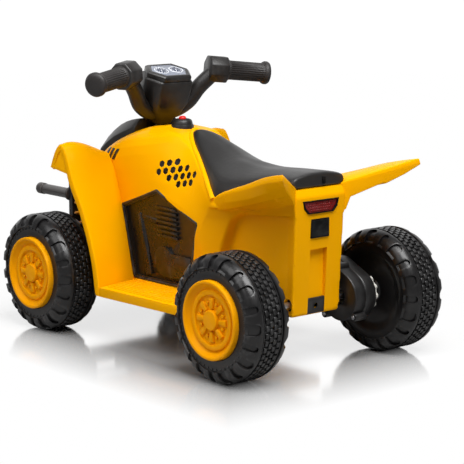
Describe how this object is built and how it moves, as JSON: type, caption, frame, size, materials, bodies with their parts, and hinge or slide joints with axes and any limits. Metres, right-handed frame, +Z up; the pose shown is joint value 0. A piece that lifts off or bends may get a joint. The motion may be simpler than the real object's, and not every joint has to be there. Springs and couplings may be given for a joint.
{
  "type": "kids quad bike",
  "caption": "Small battery ride-on quad bike for a child: moulded body with swept rear wings, hard seat, knobbly wheels, steered front axle and a geared rear wheel.",
  "frame": {"origin": "on the ground under the middle of the overall length and width", "axes": "+X forward along the length, +Y to the rider's left, +Z up"},
  "size_m": [0.7008, 0.42, 0.4617],
  "materials": {
    "body_yellow": "glossy moulded polypropylene, warm yellow",
    "wheel_yellow": "satin moulded plastic, warm yellow",
    "trim_black": "fine grained moulded plastic, black",
    "cowl_black": "satin moulded plastic, black",
    "seat_black": "satin moulded plastic, black",
    "bar_black": "fine grained moulded plastic, black",
    "grip_rubber": "ribbed moulded plastic, black",
    "dial_face": "printed dials under a clear film",
    "signal_red": "translucent moulded plastic, red",
    "lamp_clear": "clear ribbed moulding over a bright reflector",
    "tyre_black": "blow moulded plastic tyre, black",
    "bumper_grey": "satin moulded plastic, dark grey",
    "frame_black": "moulded plastic, black",
    "spring_yellow": "painted spring wire, yellow",
    "steel": "zinc plated steel",
    "gear_white": "natural nylon, off-white",
    "battery_grey": "plain battery case, grey"
  },
  "bodies": {
    "chassis": {"body_shell": "body_yellow", "front_fender_left": "body_yellow", "front_fender_right": "body_yellow", "footrest_left": "body_yellow", "footrest_right": "body_yellow", "engine_cover_left": "trim_black", "engine_cover_right": "trim_black", "front_grille": "trim_black", "start_pod": "trim_black", "tail_lamp_bezel": "trim_black", "tow_block": "trim_black", "nose_cover": "cowl_black", "seat": "seat_black", "tail_lamp_lens": "signal_red", "headlamp_left": "lamp_clear", "headlamp_right": "lamp_clear", "bumper_horn_left": "bumper_grey", "bumper_horn_right": "bumper_grey", "horn_cap_left": "bumper_grey", "horn_cap_right": "bumper_grey", "front_axle_frame": "frame_black", "chassis_pan": "frame_black", "gearbox_case_inner": "frame_black", "gearbox_case_outer": "frame_black", "column_bush_lower": "frame_black", "front_spring_left": "spring_yellow", "front_spring_right": "spring_yellow", "rear_axle": "steel", "push_nut_rear_left": "steel", "push_nut_rear_right": "steel", "axle_spacer": "steel", "motor": "steel", "battery": "battery_grey"},
    "steering": {"steering_column": "steel", "console": "bar_black", "console_lid": "bar_black", "dial_panel": "dial_face", "bar_clamp_left": "bar_black", "bar_clamp_right": "bar_black", "grip_left": "grip_rubber", "grip_right": "grip_rubber"},
    "knuckle_left": {"knuckle_left": "frame_black", "push_nut_front_left": "steel"},
    "knuckle_right": {"knuckle_right": "frame_black", "push_nut_front_right": "steel"},
    "tie_rod": {"tie_rod": "frame_black"},
    "wheel_front_left": {"tyre_front_left": "tyre_black", "wheel_disc_front_left": "wheel_yellow"},
    "wheel_front_right": {"tyre_front_right": "tyre_black", "wheel_disc_front_right": "wheel_yellow"},
    "wheel_rear_left": {"tyre_rear_left": "tyre_black", "wheel_disc_rear_left": "wheel_yellow"},
    "wheel_rear_right": {"tyre_rear_right": "tyre_black", "wheel_disc_rear_right": "wheel_yellow", "output_gear": "gear_white"},
    "second_gear": {"second_gear": "gear_white"},
    "first_gear": {"first_gear": "gear_white"},
    "motor_pinion": {"motor_pinion": "gear_white"},
    "start_button": {"start_button": "signal_red"}
  },
  "joints": [
    {"name": "steer", "type": "hinge", "parent": "chassis", "child": "steering", "pos_m": [0.13637, 0, 0.347], "axis": [-0.309, 0, 0.9511], "range_deg": [-20, 20]},
    {"name": "knuckle_left_turn", "type": "hinge", "parent": "chassis", "child": "knuckle_left", "pos_m": [0.22712, 0.095, 0.1], "axis": [0, 0, 1], "range_deg": [-20, 20]},
    {"name": "knuckle_right_turn", "type": "hinge", "parent": "chassis", "child": "knuckle_right", "pos_m": [0.22712, -0.095, 0.1], "axis": [0, 0, 1], "range_deg": [-20, 20]},
    {"name": "tie_rod_pivot", "type": "hinge", "parent": "knuckle_left", "child": "tie_rod", "pos_m": [0.18712, 0.095, 0.1], "axis": [0, 0, 1], "range_deg": [-20, 20]},
    {"name": "wheel_front_left_spin", "type": "hinge", "parent": "knuckle_left", "child": "wheel_front_left", "pos_m": [0.22712, 0.165, 0.1], "axis": [0, 1, 0], "continuous": true},
    {"name": "wheel_front_right_spin", "type": "hinge", "parent": "knuckle_right", "child": "wheel_front_right", "pos_m": [0.22712, -0.165, 0.1], "axis": [0, 1, 0], "continuous": true},
    {"name": "wheel_rear_left_spin", "type": "hinge", "parent": "chassis", "child": "wheel_rear_left", "pos_m": [-0.25038, 0.165, 0.1], "axis": [0, 1, 0], "continuous": true},
    {"name": "wheel_rear_right_spin", "type": "hinge", "parent": "chassis", "child": "wheel_rear_right", "pos_m": [-0.25038, -0.165, 0.1], "axis": [0, 1, 0], "continuous": true},
    {"name": "second_gear_spin", "type": "hinge", "parent": "chassis", "child": "second_gear", "pos_m": [-0.21669, -0.085, 0.12632], "axis": [0, 1, 0], "continuous": true},
    {"name": "first_gear_spin", "type": "hinge", "parent": "chassis", "child": "first_gear", "pos_m": [-0.18698, -0.075, 0.13049], "axis": [0, 1, 0], "continuous": true},
    {"name": "motor_pinion_spin", "type": "hinge", "parent": "chassis", "child": "motor_pinion", "pos_m": [-0.16584, -0.067, 0.1228], "axis": [0, 1, 0], "continuous": true},
    {"name": "start_button_press", "type": "slide", "parent": "chassis", "child": "start_button", "axis": [0, 0, -1], "range_m": [0, 0.003], "stiffness_N_per_m": 300, "springref_m": -0.0005}
  ],
  "couplings": [
    {"joint": "knuckle_left_turn", "follows": "steer", "ratio": 1},
    {"joint": "knuckle_right_turn", "follows": "steer", "ratio": 1},
    {"joint": "tie_rod_pivot", "follows": "steer", "ratio": -1},
    {"joint": "second_gear_spin", "follows": "wheel_rear_right_spin", "ratio": -2.8},
    {"joint": "first_gear_spin", "follows": "wheel_rear_right_spin", "ratio": 8.4},
    {"joint": "motor_pinion_spin", "follows": "wheel_rear_right_spin", "ratio": -25.2}
  ]
}
